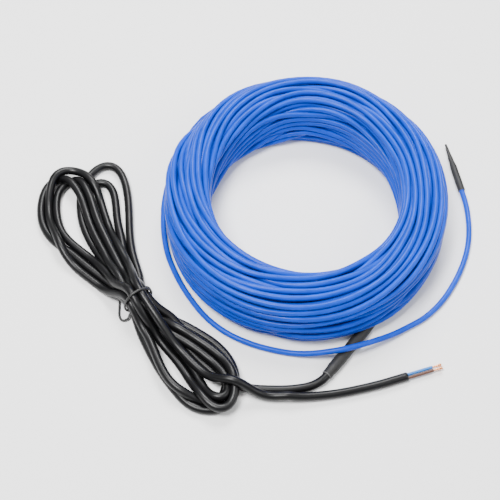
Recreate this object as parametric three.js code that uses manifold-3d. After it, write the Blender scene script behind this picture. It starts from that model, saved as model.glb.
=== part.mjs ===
// Pipe heating cable as it is sold: a round coil of blue heating cable with a loose outer end,
// a splice sleeve, and a tied hank of black cold lead whose end is stripped for connection.
// Millimetres, +Z up. The floor is Z = 0, +X is to the right and +Y to the back.

import * as THREE from 'three';
import { mergeVertices } from 'three/addons/utils/BufferGeometryUtils.js';
import Module from 'manifold-3d';

const wasm = await Module();
wasm.setup();

// Cable sizes
const CABLE_D = 5.5;
const LEAD_D = 8.2;
const CORE_D = 2.9;
const STRAND_D = 1.6;
const FIT_GAP = 0.3;
// Flat sides of a tube lie closer in than its corners, so the room cut for a lead is a little wider
const LEAD_ROOM_D = LEAD_D + 1.32;

// The coil: its turns fill a rounded rectangle that is carried round the coil's axis
const COIL_CENTRE = new THREE.Vector2(50, 35);
const COIL_MEAN_R = 115;
const COIL_WIDTH = 45;
const COIL_HEIGHT = 58;
const COIL_CORNER_R = 14;
const COIL_LEAN = 9;
const COIL_SEGMENTS = 40;
const TURN_GAP = 0.4;
const GROOVE_DEPTH = 1.2;
// One turn in the section's edge: share of the turn's width, depth below its crest
const TURN_EDGE = [[0, GROOVE_DEPTH], [0.25, 0], [0.75, 0]];

// The loose outer end of the heating cable, from the coil's left round its front to the end seal:
// degrees round the coil's axis, distance of the cable from the coil's wall, height of its middle
const TAIL_ROUTE = [
  [178, 0, 9], [188, 0.3, 6.5], [198, 1.2, 3.05], [210, 2.4, 3.05], [221, 5, 3.05], [231, 8.5, 3.05],
  [240, 10.3, 3.05], [249, 10.8, 3.05], [258, 11, 3.05], [266, 12, 4.2], [272, 13.2, 8], [277.5, 14.4, 12.4],
  [283, 15.2, 14.6], [288, 15, 14], [294, 14.4, 10.8], [300.5, 14.6, 6.6], [307, 15.6, 3.9],
  [314, 18.6, 3.05], [322, 20.4, 3.05], [330, 21.2, 3.05], [339, 22.4, 3.05], [347.5, 23.6, 3.05],
  [356, 24, 3.05], [365, 24.2, 3.05], [371, 24, 3.3],
];

// Heat shrink pieces
const SEAL_D = 7.2;
const SEAL_LENGTH = 60;
const SEAL_BODY_LENGTH = 30;
const SEAL_TIP_D = 2.4;
const SLEEVE_D = 11.2;
const SLEEVE_LENGTH = 88;
const SLEEVE_MOUTH_D = 9.6;
const SLEEVE_MOUTH_LENGTH = 3;
const SLEEVE_TAPER_LENGTH = 14;
const SLEEVE_END_D = 6.6;

// The splice sleeve starts outside the coil and dives under its outer turns
const SLEEVE_COIL_ANGLE = 275;
const SLEEVE_COIL_OFFSET = 38;
const SLEEVE_HEADING = 50.5;

// Cold lead from the splice to the hank, and from the hank to the stripped end
const RUN_IN_ROUTE = [
  [53, -148.6, 4.3], [41, -151.4, 4.3], [28, -153, 4.3], [14, -153.6, 4.3], [1, -153, 4.3],
  [-10, -151, 4.3], [-20, -147.5, 4.3],
];
const RUN_OUT_ROUTE = [
  [-25, -147.5, 13.2], [-15, -152, 13], [-4, -156, 12.8], [9, -159, 11.6], [25, -160.4, 9.2],
  [41, -160.6, 6.5], [59, -159, 4.8], [77, -156.4, 4.3], [95, -152.6, 4.3], [114, -147.8, 4.3],
  [127, -143.8, 4.3], [139, -140, 4.3],
];

// The hank: its outer edge and its openings, as smooth closed curves in plan
const HANK_THICKNESS = 18;
const HANK_EDGE = 5;
const HANK_OUTLINE = [
  [-120, -67], [-135, -54], [-155, -39], [-176, -22], [-204, 8], [-215, 44], [-209, 80], [-190, 91.5],
  [-170, 87], [-151, 100], [-133, 85], [-124, 55], [-119, 20], [-108, -31], [-95, -66], [-63, -93],
  [-27, -117], [-14, -145], [-22, -174], [-46, -175], [-71, -159], [-94, -130], [-113, -87],
];
const HANK_OPENINGS = [
  [[-184, 68], [-192, 53], [-194, 32], [-180, 3], [-150, -21], [-158, -3], [-168, 20], [-176, 50]],
  [[-146, 89], [-155, 85], [-150, 79], [-140, 64], [-133, 35], [-128, 6], [-127, 30], [-131, 58]],
  [[-89, -112], [-80, -132], [-67, -149], [-56, -152], [-68, -132]],
];
const HANK_CURVE_POINTS = 66;
const OPENING_CURVE_POINTS = 20;

// The waist, where every run of the hank passes through the twist tie
const TIE_CENTRE = new THREE.Vector2(-109, -68);
const TIE_HEADING = -58;
const TIE_D = 2;
const TIE_SLOT_WIDTH = 3.2;
const WAIST_WIDTH = 25;
const WAIST_HEIGHT = 32;
const WAIST_LENGTH = 66;
const WAIST_BODY_LENGTH = 22;
const WAIST_END_SCALE = 0.5;
const TIE_END_ROUTE = [[-124, -83, 7], [-129, -78, 2.4], [-131.6, -68, 1.6], [-134, -60.5, 1.6]];

// The stripped end
const CORE_LENGTH = 25;
const STRAND_LENGTH = 9;
const CORE_SPREAD_DEG = 1.2;

// Fineness of the round sections
const CABLE_SIDES = 8;
const LEAD_SIDES = 10;
const ROUND_SIDES = 16;
const STEP_DIAMETERS = 2.5;
const MERGE_DISTANCE = 1e-4;

const coilOuterR = COIL_MEAN_R + COIL_WIDTH / 2;
const coilInnerR = COIL_MEAN_R - COIL_WIDTH / 2;

// Colours and gloss of each kind of piece
const finishes = {
  blue: { color: 0x1f5fd0, roughness: 0.38, metalness: 0 },
  black: { color: 0x17181b, roughness: 0.45, metalness: 0 },
  shrink: { color: 0x101113, roughness: 0.6, metalness: 0 },
  core_blue: { color: 0x2f7fc4, roughness: 0.45, metalness: 0 },
  core_brown: { color: 0x7a4a33, roughness: 0.45, metalness: 0 },
  copper: { color: 0xc9794f, roughness: 0.35, metalness: 1 },
  tie: { color: 0x1b1b1d, roughness: 0.5, metalness: 0 },
};

function piece(name, geometry, finish) {
  const mesh = new THREE.Mesh(geometry, new THREE.MeshStandardMaterial(finishes[finish]));
  mesh.name = name;
  return mesh;
}

// A closed mesh as a solid for joining and cutting, and a solid back as a mesh
function solid(geometry) {
  const bare = geometry.clone();
  bare.deleteAttribute('normal');
  bare.deleteAttribute('uv');
  const merged = mergeVertices(bare, MERGE_DISTANCE);
  return new wasm.Manifold(new wasm.Mesh({
    numProp: 3,
    vertProperties: merged.getAttribute('position').array,
    triVerts: new Uint32Array(merged.index.array),
  }));
}

function geometryOf(manifold) {
  const { vertProperties, triVerts } = manifold.getMesh();
  const geometry = new THREE.BufferGeometry();
  geometry.setAttribute('position', new THREE.BufferAttribute(vertProperties, 3));
  geometry.setIndex(new THREE.BufferAttribute(triVerts, 1));
  geometry.computeVertexNormals();
  return geometry;
}

// A plan direction from its degrees, counter-clockwise from +X
function heading(degrees) {
  const angle = THREE.MathUtils.degToRad(degrees);
  return new THREE.Vector3(Math.cos(angle), Math.sin(angle), 0);
}

function roundTube(points, diameter, sides) {
  const path = new THREE.CatmullRomCurve3(points, false, 'centripetal');
  const section = new THREE.Shape();
  section.absarc(0, 0, diameter / 2, 0, 2 * Math.PI);
  return new THREE.ExtrudeGeometry(section, {
    steps: Math.ceil(path.getLength() / (STEP_DIAMETERS * diameter)),
    curveSegments: sides / 2,
    extrudePath: path,
  });
}

// A turned piece that lies along a plan direction; its profile is pairs of distance and diameter
function turnedAlong(profile, start, degrees) {
  const last = profile[profile.length - 1];
  const points = [
    new THREE.Vector2(0, profile[0][0]),
    ...profile.map(([distance, diameter]) => new THREE.Vector2(diameter / 2, distance)),
    new THREE.Vector2(0, last[0]),
  ];
  const geometry = new THREE.LatheGeometry(points, ROUND_SIDES);
  geometry.rotateZ(-Math.PI / 2);
  geometry.rotateZ(THREE.MathUtils.degToRad(degrees));
  geometry.translate(start.x, start.y, start.z);
  return geometry;
}

// A place beside the coil: degrees round its axis, distance out of its wall, height
function besideCoil(degrees, distance, height) {
  return heading(degrees).multiplyScalar(coilOuterR + distance)
    .add(new THREE.Vector3(COIL_CENTRE.x, COIL_CENTRE.y, height));
}

// The coil's section, counter-clockwise: a rounded rectangle whose edge runs in and out
// once for each turn that lies against it, with flat crests between the grooves
function coilProfile() {
  const corner = COIL_CORNER_R;
  const edge = new THREE.Path();
  edge.moveTo(coilInnerR + corner, 0);
  edge.lineTo(coilOuterR - corner, 0);
  edge.absarc(coilOuterR - corner, corner, corner, -Math.PI / 2, 0);
  edge.lineTo(coilOuterR, COIL_HEIGHT - corner);
  edge.absarc(coilOuterR - corner, COIL_HEIGHT - corner, corner, 0, Math.PI / 2);
  edge.lineTo(coilInnerR + corner, COIL_HEIGHT);
  edge.absarc(coilInnerR + corner, COIL_HEIGHT - corner, corner, Math.PI / 2, Math.PI);
  edge.lineTo(coilInnerR, corner);
  edge.absarc(coilInnerR + corner, corner, corner, Math.PI, 1.5 * Math.PI);
  const turns = Math.round(edge.getLength() / (CABLE_D + TURN_GAP));
  const points = [];
  for (let turn = 0; turn < turns; turn += 1) {
    for (const [share, depth] of TURN_EDGE) {
      const along = (turn + share) / turns;
      const tangent = edge.getTangentAt(along);
      const inward = new THREE.Vector2(-tangent.y, tangent.x);
      points.push(edge.getPointAt(along).addScaledVector(inward, depth));
    }
  }
  points.push(points[0].clone());
  return points;
}

function coil() {
  const geometry = new THREE.LatheGeometry(coilProfile(), COIL_SEGMENTS);
  geometry.rotateX(Math.PI / 2);
  geometry.applyMatrix4(new THREE.Matrix4().makeShear(0, 0, 0, 0, 0, COIL_LEAN / COIL_HEIGHT));
  geometry.translate(COIL_CENTRE.x, COIL_CENTRE.y - COIL_LEAN / 2, 0);
  return geometryOf(solid(geometry).subtract(sleeveTunnel()));
}

const sleeveStart = besideCoil(SLEEVE_COIL_ANGLE, SLEEVE_COIL_OFFSET, SLEEVE_D / 2);

function sleeve() {
  return turnedAlong([
    [0, SLEEVE_MOUTH_D],
    [SLEEVE_MOUTH_LENGTH, SLEEVE_D],
    [SLEEVE_LENGTH - SLEEVE_TAPER_LENGTH, SLEEVE_D],
    [SLEEVE_LENGTH, SLEEVE_END_D],
  ], sleeveStart, SLEEVE_HEADING);
}

// The room that the sleeve takes under the coil's outer turns, open down to the floor
function sleeveTunnel() {
  const width = SLEEVE_D + 2 * FIT_GAP;
  const length = SLEEVE_LENGTH + FIT_GAP;
  const roof = turnedAlong([[0, width], [length, width]], sleeveStart, SLEEVE_HEADING);
  const slot = new THREE.BoxGeometry(length, width, SLEEVE_D);
  slot.translate(length / 2, 0, -SLEEVE_D / 2);
  slot.rotateZ(THREE.MathUtils.degToRad(SLEEVE_HEADING));
  slot.translate(sleeveStart.x, sleeveStart.y, sleeveStart.z);
  return solid(roof).add(solid(slot));
}

const tailPoints = TAIL_ROUTE.map(([degrees, distance, height]) => (
  besideCoil(degrees, distance + CABLE_D / 2 + FIT_GAP, height)
));

// The end seal carries on from the tail's last stretch
function endSeal() {
  const [before, end] = tailPoints.slice(-2);
  const degrees = THREE.MathUtils.radToDeg(Math.atan2(end.y - before.y, end.x - before.x));
  const start = end.clone().addScaledVector(heading(degrees), FIT_GAP);
  start.z = SEAL_D / 2;
  return turnedAlong([
    [0, SEAL_D],
    [SEAL_BODY_LENGTH, SEAL_D],
    [SEAL_LENGTH, SEAL_TIP_D],
  ], start, degrees);
}

// Cold lead runs: the first leaves the sleeve's mouth in line with it
const runInPoints = [
  sleeveStart.clone().addScaledVector(heading(SLEEVE_HEADING), -FIT_GAP),
  sleeveStart.clone().addScaledVector(heading(SLEEVE_HEADING), -LEAD_D / 2),
  ...RUN_IN_ROUTE.map((point) => new THREE.Vector3(...point)),
];
runInPoints[0].z = SLEEVE_D / 2;
runInPoints[1].z = SLEEVE_D / 2;
const runOutPoints = RUN_OUT_ROUTE.map((point) => new THREE.Vector3(...point));

// The same run with room round it and beyond the end that lies in the hank
function clearanceTube(points, hankEnd) {
  const neighbour = hankEnd === 0 ? 1 : points.length - 2;
  const end = hankEnd === 0 ? 0 : points.length - 1;
  const outward = points[end].clone().sub(points[neighbour]).normalize();
  const longer = points.map((point) => point.clone());
  longer[end].addScaledVector(outward, FIT_GAP);
  return solid(roundTube(longer, LEAD_ROOM_D, LEAD_SIDES));
}

function closedCurve(points, count) {
  const corners = points.map(([x, y]) => new THREE.Vector3(x, y, 0));
  const curve = new THREE.CatmullRomCurve3(corners, true, 'centripetal');
  return curve.getSpacedPoints(count).slice(0, -1).map((point) => new THREE.Vector2(point.x, point.y));
}

// The hank: a plate with rounded edges and open loops, thicker at its waist
function hank() {
  const plate = new THREE.ExtrudeGeometry(new THREE.Shape(closedCurve(HANK_OUTLINE, HANK_CURVE_POINTS)), {
    depth: HANK_THICKNESS - 2 * HANK_EDGE,
    bevelThickness: HANK_EDGE,
    bevelSize: HANK_EDGE,
    bevelOffset: -HANK_EDGE,
    bevelSegments: 2,
  });
  plate.translate(0, 0, HANK_EDGE);
  let body = solid(plate).subtract(solid(tieRoom()));
  for (const opening of HANK_OPENINGS) {
    const loop = new THREE.Shape(closedCurve(opening, OPENING_CURVE_POINTS));
    const depth = 2 * HANK_THICKNESS;
    const room = new THREE.ExtrudeGeometry(loop, { depth, bevelEnabled: false });
    room.translate(0, 0, -HANK_THICKNESS / 2);
    body = body.subtract(solid(room));
  }
  return geometryOf(body.add(solid(waist()))
    .subtract(clearanceTube(runInPoints, runInPoints.length - 1))
    .subtract(clearanceTube(runOutPoints, 0)));
}

// The slot that the tie needs across the plate, before the waist is joined on
function tieRoom() {
  const acrossPlate = 2 * WAIST_LENGTH;
  const slot = new THREE.BoxGeometry(TIE_SLOT_WIDTH, acrossPlate, 2 * HANK_THICKNESS);
  slot.rotateZ(THREE.MathUtils.degToRad(TIE_HEADING));
  slot.translate(TIE_CENTRE.x, TIE_CENTRE.y, HANK_THICKNESS / 2);
  return slot;
}

const waistOval = WAIST_HEIGHT / WAIST_WIDTH;
const waistAxisHeight = (WAIST_WIDTH / 2 + FIT_GAP + TIE_D) * waistOval;

// The waist is an oval barrel, and the tie an oval ring round its middle
function waist() {
  const end = WAIST_WIDTH * WAIST_END_SCALE;
  const barrel = turnedAlong([
    [-WAIST_LENGTH / 2, end],
    [-WAIST_BODY_LENGTH / 2, WAIST_WIDTH],
    [WAIST_BODY_LENGTH / 2, WAIST_WIDTH],
    [WAIST_LENGTH / 2, end],
  ], new THREE.Vector3(), TIE_HEADING);
  barrel.scale(1, 1, waistOval);
  barrel.translate(TIE_CENTRE.x, TIE_CENTRE.y, waistAxisHeight);
  return barrel;
}

function tie() {
  const ringR = WAIST_WIDTH / 2 + FIT_GAP + TIE_D / 2;
  const profile = [];
  for (let corner = 0; corner <= CABLE_SIDES; corner += 1) {
    const angle = 2 * Math.PI * corner / CABLE_SIDES;
    profile.push(new THREE.Vector2(ringR + Math.cos(angle) * TIE_D / 2, Math.sin(angle) * TIE_D / 2));
  }
  const ring = new THREE.LatheGeometry(profile, 2 * ROUND_SIDES);
  ring.rotateZ(-Math.PI / 2);
  ring.rotateZ(THREE.MathUtils.degToRad(TIE_HEADING));
  ring.scale(1, 1, waistOval);
  ring.translate(TIE_CENTRE.x, TIE_CENTRE.y, waistAxisHeight);
  const side = heading(TIE_HEADING - 90).multiplyScalar(ringR);
  const end = roundTube([
    new THREE.Vector3(TIE_CENTRE.x + side.x, TIE_CENTRE.y + side.y, waistAxisHeight),
    ...TIE_END_ROUTE.map((point) => new THREE.Vector3(...point)),
  ], TIE_D, CABLE_SIDES);
  return geometryOf(solid(ring).add(solid(end)));
}

// One core and its copper, side by side with the other in the stripped end
function strippedCore(side) {
  const [before, end] = runOutPoints.slice(-2);
  const degrees = THREE.MathUtils.radToDeg(Math.atan2(end.y - before.y, end.x - before.x));
  const coreDegrees = degrees + side * CORE_SPREAD_DEG;
  const along = heading(coreDegrees);
  const across = heading(degrees + 90);
  const start = end.clone()
    .addScaledVector(heading(degrees), FIT_GAP)
    .addScaledVector(across, side * (CORE_D + FIT_GAP) / 2);
  const copperStart = start.clone().addScaledVector(along, CORE_LENGTH + FIT_GAP);
  return {
    core: turnedAlong([[0, CORE_D], [CORE_LENGTH, CORE_D]], start, coreDegrees),
    copper: turnedAlong([[0, STRAND_D], [STRAND_LENGTH, STRAND_D]], copperStart, coreDegrees),
  };
}

const neutral = strippedCore(1);
const live = strippedCore(-1);

const heatingCable = new THREE.Group();
heatingCable.add(
  piece('heating_cable_coil', coil(), 'blue'),
  piece('heating_cable_tail', roundTube(tailPoints, CABLE_D, CABLE_SIDES), 'blue'),
  piece('end_seal', endSeal(), 'shrink'),
  piece('splice_sleeve', sleeve(), 'shrink'),
  piece('cold_lead_run_in', roundTube(runInPoints, LEAD_D, LEAD_SIDES), 'black'),
  piece('cold_lead_hank', hank(), 'black'),
  piece('cold_lead_run_out', roundTube(runOutPoints, LEAD_D, LEAD_SIDES), 'black'),
  piece('twist_tie', tie(), 'tie'),
  piece('core_blue', neutral.core, 'core_blue'),
  piece('core_blue_strands', neutral.copper, 'copper'),
  piece('core_brown', live.core, 'core_brown'),
  piece('core_brown_strands', live.copper, 'copper'),
);

// The origin is on the floor, under the middle of the whole part
const middle = new THREE.Box3().setFromObject(heatingCable, true).getCenter(new THREE.Vector3());
heatingCable.position.set(-middle.x, -middle.y, 0);

export default heatingCable;
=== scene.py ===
import math

import bpy
import numpy as np
from bpy.props import FloatProperty, FloatVectorProperty, IntProperty, PointerProperty
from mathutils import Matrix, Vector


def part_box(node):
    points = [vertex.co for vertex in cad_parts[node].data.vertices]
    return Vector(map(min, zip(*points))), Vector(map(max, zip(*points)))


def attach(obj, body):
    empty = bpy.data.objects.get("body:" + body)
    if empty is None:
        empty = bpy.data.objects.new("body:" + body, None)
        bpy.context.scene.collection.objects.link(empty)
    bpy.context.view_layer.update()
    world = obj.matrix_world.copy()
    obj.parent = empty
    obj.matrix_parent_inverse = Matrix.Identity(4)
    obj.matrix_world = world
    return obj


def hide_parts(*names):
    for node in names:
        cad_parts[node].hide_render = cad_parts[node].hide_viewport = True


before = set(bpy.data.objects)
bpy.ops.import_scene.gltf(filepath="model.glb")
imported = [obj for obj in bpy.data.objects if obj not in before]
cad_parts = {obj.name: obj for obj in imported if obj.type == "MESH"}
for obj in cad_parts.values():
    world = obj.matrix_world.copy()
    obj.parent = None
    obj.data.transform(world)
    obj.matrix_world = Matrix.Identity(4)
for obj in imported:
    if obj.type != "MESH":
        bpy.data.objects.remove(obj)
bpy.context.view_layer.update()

bl_info = {
    "name": "Pipe heating cable",
    "version": (1, 0, 0),
    "blender": (4, 5, 0),
    "location": "3D View > Sidebar > Heating cable",
    "description": "Winds and lays a pipe heating cable with its cold lead round the packed frame",
    "category": "Add Mesh",
}

# Lengths below are in millimetres and angles in degrees, except where a comment says otherwise
SEED = 7
MM = 0.001
GOLDEN_ANGLE = math.pi * (3 - math.sqrt(5))

# Routes are written as the construction's source writes them, before the whole part was centred
# on its box; the coil's own box says how far that moved everything
COIL_CENTRE_AS_DRAWN = np.array([50.0, 35.0])
coil_low, coil_high = (np.array(corner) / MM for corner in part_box("heating_cable_coil"))
COIL_CENTRE = (coil_low[:2] + coil_high[:2]) / 2
CENTRING = np.append(COIL_CENTRE - COIL_CENTRE_AS_DRAWN, 0.0)

# Splice sleeve: where it starts beside the coil, and where it heads
FIT_GAP = 0.3
SLEEVE_DIAMETER = 11.2
SLEEVE_LENGTH = 88.0
SLEEVE_HEADING = 50.5
SLEEVE_COIL_ANGLE = 275.0
SLEEVE_COIL_OFFSET = 38.0
SLEEVE_SIDES = 32
SLEEVE_ROWS = 180
LEAD_IN_SLEEVE = 10
LEAD_PAST_SLEEVE = 4
CABLE_IN_SLEEVE = 4.0

# The sleeve's outline: place along it, and radius past the lead's, the sleeve's or the cable's
# own; the last places are counted back from its end
SLEEVE_ON_LEAD = ((0, 0.5), (0.8, 0.85), (2.2, 0.8), (5, 0.75))
SLEEVE_OVER_JOINTS = ((11, -0.15), (22, 0), (33, -0.35), (44, -0.05), (58, -0.3), (70, -1.0))
SLEEVE_ON_CABLE = ((3, 0.75), (0, 0.45))

# The loose outer end: degrees round the coil, distance from its wall, height of the cable's middle
TAIL_ROUTE = [
    (178, 0, 9), (188, 0.3, 6.5), (198, 1.2, 3.05), (210, 2.4, 3.05), (221, 5, 3.05),
    (231, 8.5, 3.05), (240, 10.3, 3.05), (249, 10.8, 3.05), (258, 11, 3.05), (266, 12, 4.2),
    (272, 13.2, 8), (277.5, 14.4, 12.4), (283, 15.2, 14.6), (288, 15, 14), (294, 14.4, 10.8),
    (300.5, 14.6, 6.6), (307, 15.6, 3.9), (314, 18.6, 3.05), (322, 20.4, 3.05), (330, 21.2, 3.05),
    (339, 22.4, 3.05), (347.5, 23.6, 3.05), (356, 24, 3.05), (365, 24.2, 3.05), (371, 24, 3.3),
]
TAIL_STEP = 7.0

# How the turns lie. A swing is waves round the coil, radians and phase; a wander is waves a turn
# and millimetres
FULL_TURNS = 68
LAY_SWINGS = ((1, 0.62, 196), (2, 0.5, 265))
SECTION_SQUARENESS = 3
WANDERS = ((0.7, 2.8), (1.9, 2.0), (3.1, 1.0))
CABLE_SIDES = 12

# How the turns settle. Spacings are in cable diameters and grow over the rounds
WINDING_ROUNDS, QUICK_WINDING_ROUNDS = 420, 120
FIRST_SPACING, SPACING_GROWTH, FULL_SPACING = 0.7, 0.8, 1.04
TURN_PUSH = 0.3
LONGEST_TURN_PUSH = 1.2
TURN_SMOOTHING = 0.06
TURN_STIFFNESS = 0.11
LEAD_IN_POINTS, LEAD_OUT_POINTS = 3, 5
LEAD_OUT_FALL = 1.1
LEAVING_SHARE_OF_TURN = 0.14
LEAST_RISE_OVER_SLEEVE = 0.35

# Cold lead from the splice to the hank, and from the hank to the stripped end
RUN_IN_ROUTE = [
    (53, -148.6, 4.3), (41, -151.4, 4.3), (28, -153, 4.3), (14, -153.6, 4.3), (1, -153, 4.3),
    (-10, -151, 4.3), (-20, -147.5, 4.3),
]
RUN_OUT_ROUTE = [
    (-25, -147.5, 13.2), (-15, -152, 13), (-4, -156, 12.8), (9, -159, 11.6), (25, -160.4, 9.2),
    (41, -160.6, 6.5), (59, -159, 4.8), (77, -156.4, 4.3), (95, -152.6, 4.3), (114, -147.8, 4.3),
    (127, -143.8, 4.3), (139, -140, 4.3),
]

# The hank, from the splice's end of the lead to its stripped end. Each name is one pass through
# one of the two lobes; the strands between two passes go through the tie
HANK_IN = [(-29, -141, 4.3), (-39, -133, 4.3), (-54, -120, 4.3), (-68, -106, 4.3),
           (-81, -91, 5)]
TALL_ARCH = [(-126, -46, 8), (-142, -26, 5), (-154, -8, 4.3), (-164, 9, 4.3), (-171, 27, 4.3),
             (-174, 45, 4.3), (-175, 62, 4.3), (-172, 77, 4.3), (-166, 87, 5), (-158, 95, 6),
             (-148, 98, 6), (-140, 91, 6), (-133, 77, 5), (-129, 63, 4.5), (-126, 44, 4.3),
             (-124, 22, 4.3), (-121, -1, 4.3), (-114, -30, 8)]
OUTER_BOTTOM = [(-79, -83, 10), (-67, -91, 6), (-52, -99, 4.3), (-40, -107, 4.3), (-29, -118, 8),
                (-22, -131, 12), (-18, -143, 12), (-18, -154, 12), (-21, -163, 8), (-26, -170, 5),
                (-36, -172, 4.3), (-47, -169, 4.3), (-58, -163, 4.3), (-70, -154, 4.3),
                (-80, -143, 4.3), (-88, -130, 4.3), (-95, -116, 4.3), (-101, -104, 4.3),
                (-108, -90, 6)]
LEFT_ARCH = [(-133, -50, 8), (-150, -34, 5), (-168, -20, 4.3), (-182, -8, 4.3), (-196, 4, 4.3),
             (-207, 19, 4.3), (-212, 34, 4.3), (-213, 47, 4.3), (-212, 61, 4.3), (-209, 74, 5),
             (-202, 79, 8), (-192, 76, 12), (-184, 69, 12), (-177, 58, 12), (-170, 42, 12),
             (-163, 26, 12), (-155, 8, 12), (-145, -11, 12), (-136, -30, 13)]
CROSSING_BOTTOM = [(-81, -88, 14), (-68, -98, 12), (-54, -107, 12), (-38, -118, 12),
                   (-26, -129, 12), (-20, -139, 12), (-18, -150, 12), (-19, -161, 12),
                   (-22, -170, 12), (-26, -176, 12), (-31, -176, 12), (-39, -170, 12),
                   (-47, -162, 12), (-54, -152, 11), (-61, -139, 8), (-68, -126, 7),
                   (-79, -111, 8), (-91, -98, 11)]
INNER_ARCH = [(-130, -48, 16), (-143, -30, 10), (-158, -16, 5), (-172, -5, 4.3), (-185, 8, 4.3),
              (-194, 21, 4.3), (-199, 36, 4.3), (-200, 52, 4.3), (-198, 66, 4.3), (-193, 76, 4.3),
              (-185, 80, 5), (-176, 73, 8), (-168, 59, 12), (-163, 46, 12), (-158, 31, 12),
              (-151, 15, 12), (-142, -2, 12), (-135, -18, 12), (-127, -34, 14)]
SMALL_BOTTOM = [(-84, -89, 16), (-71, -101, 12), (-57, -112, 12), (-43, -124, 12), (-31, -136, 12),
                (-23, -145, 10), (-20, -154, 8), (-23, -163, 10), (-31, -167, 12), (-39, -163, 11),
                (-45, -154, 7), (-50, -143, 5), (-57, -131, 5), (-67, -119, 5), (-81, -101, 5),
                (-95, -83, 8)]
LOW_ARCH = [(-125, -40, 6), (-137, -19, 4.3), (-148, 0, 4.3), (-156, 20, 4.3), (-163, 41, 4.3),
            (-168, 56, 4.3), (-168, 67, 5), (-162, 76, 6), (-153, 77, 6), (-145, 68, 5),
            (-140, 50, 4.3), (-137, 31, 4.3), (-133, 13, 4.3), (-127, -12, 6), (-119, -32, 10)]
NEXT_BOTTOM = [(-77, -89, 14), (-63, -96, 6), (-49, -105, 4.3), (-37, -114, 4.3), (-29, -125, 4.3),
               (-25, -136, 4.3), (-24, -147, 4.3), (-27, -158, 4.3), (-33, -164, 4.3),
               (-42, -166, 4.3), (-54, -165, 7), (-66, -158, 10), (-76, -148, 10.5),
               (-83, -137, 10.5), (-89, -125, 10.5), (-95, -112, 10), (-100, -98, 9)]
MAIN_ARCH = [(-133, -58, 14), (-148, -45, 10), (-164, -33, 9), (-176, -21, 10), (-186, -8, 11),
             (-195, 8, 11), (-202, 24, 10), (-206, 41, 9), (-207, 55, 10), (-206, 66, 12),
             (-201, 77, 12), (-194, 85, 11), (-185, 86, 10), (-175, 82, 10), (-167, 75, 11),
             (-160, 65, 12), (-155, 51, 12), (-150, 37, 12), (-144, 20, 12), (-137, 4, 12),
             (-130, -11, 12), (-121, -31, 14)]
HANK_OUT = [(-83, -98, 20), (-70, -114, 20), (-57, -129, 20), (-44, -141, 20), (-31, -149, 18)]

# Where a strand lies in the tie: across the bundle towards the coil, and above its middle, in
# lead diameters. Every other pass, starting with the first, leads up to an arch
TIE_CENTRE = (-109, -68)
TIE_HEADING = -58
TIE_HEIGHT = 18.9
TIE_HALF_LENGTH = 8
TIE_SIDE = 1.0
TIE_LOW, TIE_ROW, TIE_TOP = 0.5, 0.5, 1.37
HANK_PASSES = [
    (HANK_IN, (TIE_ROW, -TIE_TOP)),
    (TALL_ARCH, (TIE_SIDE, -TIE_LOW)),
    (OUTER_BOTTOM, (-TIE_SIDE, -TIE_LOW)),
    (LEFT_ARCH, (0, -TIE_LOW)),
    (CROSSING_BOTTOM, (-TIE_ROW, TIE_TOP)),
    (INNER_ARCH, (0, TIE_LOW)),
    (SMALL_BOTTOM, (-TIE_ROW, -TIE_TOP)),
    (LOW_ARCH, (TIE_SIDE, TIE_LOW)),
    (NEXT_BOTTOM, (-TIE_SIDE, TIE_LOW)),
    (MAIN_ARCH, (TIE_ROW, TIE_TOP)),
    (HANK_OUT, None),
]

# The tie's wire: its ring round the bundle, from and to an angle, and its free end's loop
TIE_WIRE_DIAMETER = 2.2
TIE_ACROSS, TIE_UP = 14.3, 17.4
TIE_FROM, TIE_TO = -38, 398
TIE_SLANT = 1.7
TIE_SIDES = 12
TIE_LOOP = [(-117, -76, 5), (-119, -80.5, 3), (-124.3, -81.5, 1.3), (-127.2, -77.3, 1.1),
            (-128, -67.1, 1.1), (-128.4, -58.7, 1.1), (-130, -50, 1.1), (-131, -44, 1.1)]

# How the hank's strands settle. Distances between strands are in lead diameters
SETTLE_STEP = 4.0
SETTLE_ROUNDS, QUICK_SETTLE_ROUNDS = 320, 90
FIRM_ROUNDS_SHARE = 0.85
FIRM_PUSH, SOFT_PUSH = 0.22, 0.06
STRAND_SPACING = 1.02
PAIR_REACH = 1.7
PAIR_LEAST_ALONG = 1.5
PAIRS_KEPT = 8
LONGEST_STRAND_PUSH = 1.5
PULL_HOME = 0.02
SINKING = 0.03
STRAND_STIFFNESS = 0.12
STIFFENING_PASSES = 2
TIGHTEST_BEND = 17.0
BEND_EASING = 0.4
EASING_PASSES = 8
HELD_AT_SPLICE, HELD_AT_END = 8, 30
TIE_REACH = 9
FLOOR_CLEARANCE = 0.05
LEAD_STEP = 2.6
LEAD_SIDES = 18

# End seal's outline: place along it, and radius past the body's or the tip's own; the last
# places are counted back from its tip
SEAL_DIAMETER = 7.2
SEAL_LENGTH = 60.0
SEAL_BODY_LENGTH = 30.0
SEAL_TIP_DIAMETER = 2.4
SEAL_HEIGHT = 3.6
SEAL_OVERLAP = 1.0
SEAL_BODY = ((0, -0.3), (1, 0), (3, -0.1), (12, 0), (SEAL_BODY_LENGTH, -0.15),
             (SEAL_BODY_LENGTH + 9, -1.0))
SEAL_TIP = ((8, 0.5), (0, 0))
SEAL_RIB_DEPTH, SEAL_RIB_PITCH = 0.05, 1.9
SEAL_PINCH = 0.45
SEAL_SIDES = 28
SEAL_ROWS = 150

# Stripped end
CORE_DIAMETER = 2.9
CORE_LENGTH = 25.0
CORE_IN_LEAD = 6
CORE_SIDES = 20
CORE_COLORS = (("blue", 1, (0.012, 0.13, 0.42)), ("brown", -1, (0.07, 0.022, 0.01)))
WIRE_DIAMETER = 0.5
WIRE_LENGTH = 9.0
WIRE_IN_CORE = 1.0
WIRES_PER_CORE = 16
WIRE_BUNDLE_RADIUS = 0.62
WIRE_SPLAY = 1.7
WIRE_TWIST_PER_MM = 0.16
WIRE_SIDES = 8

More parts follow.
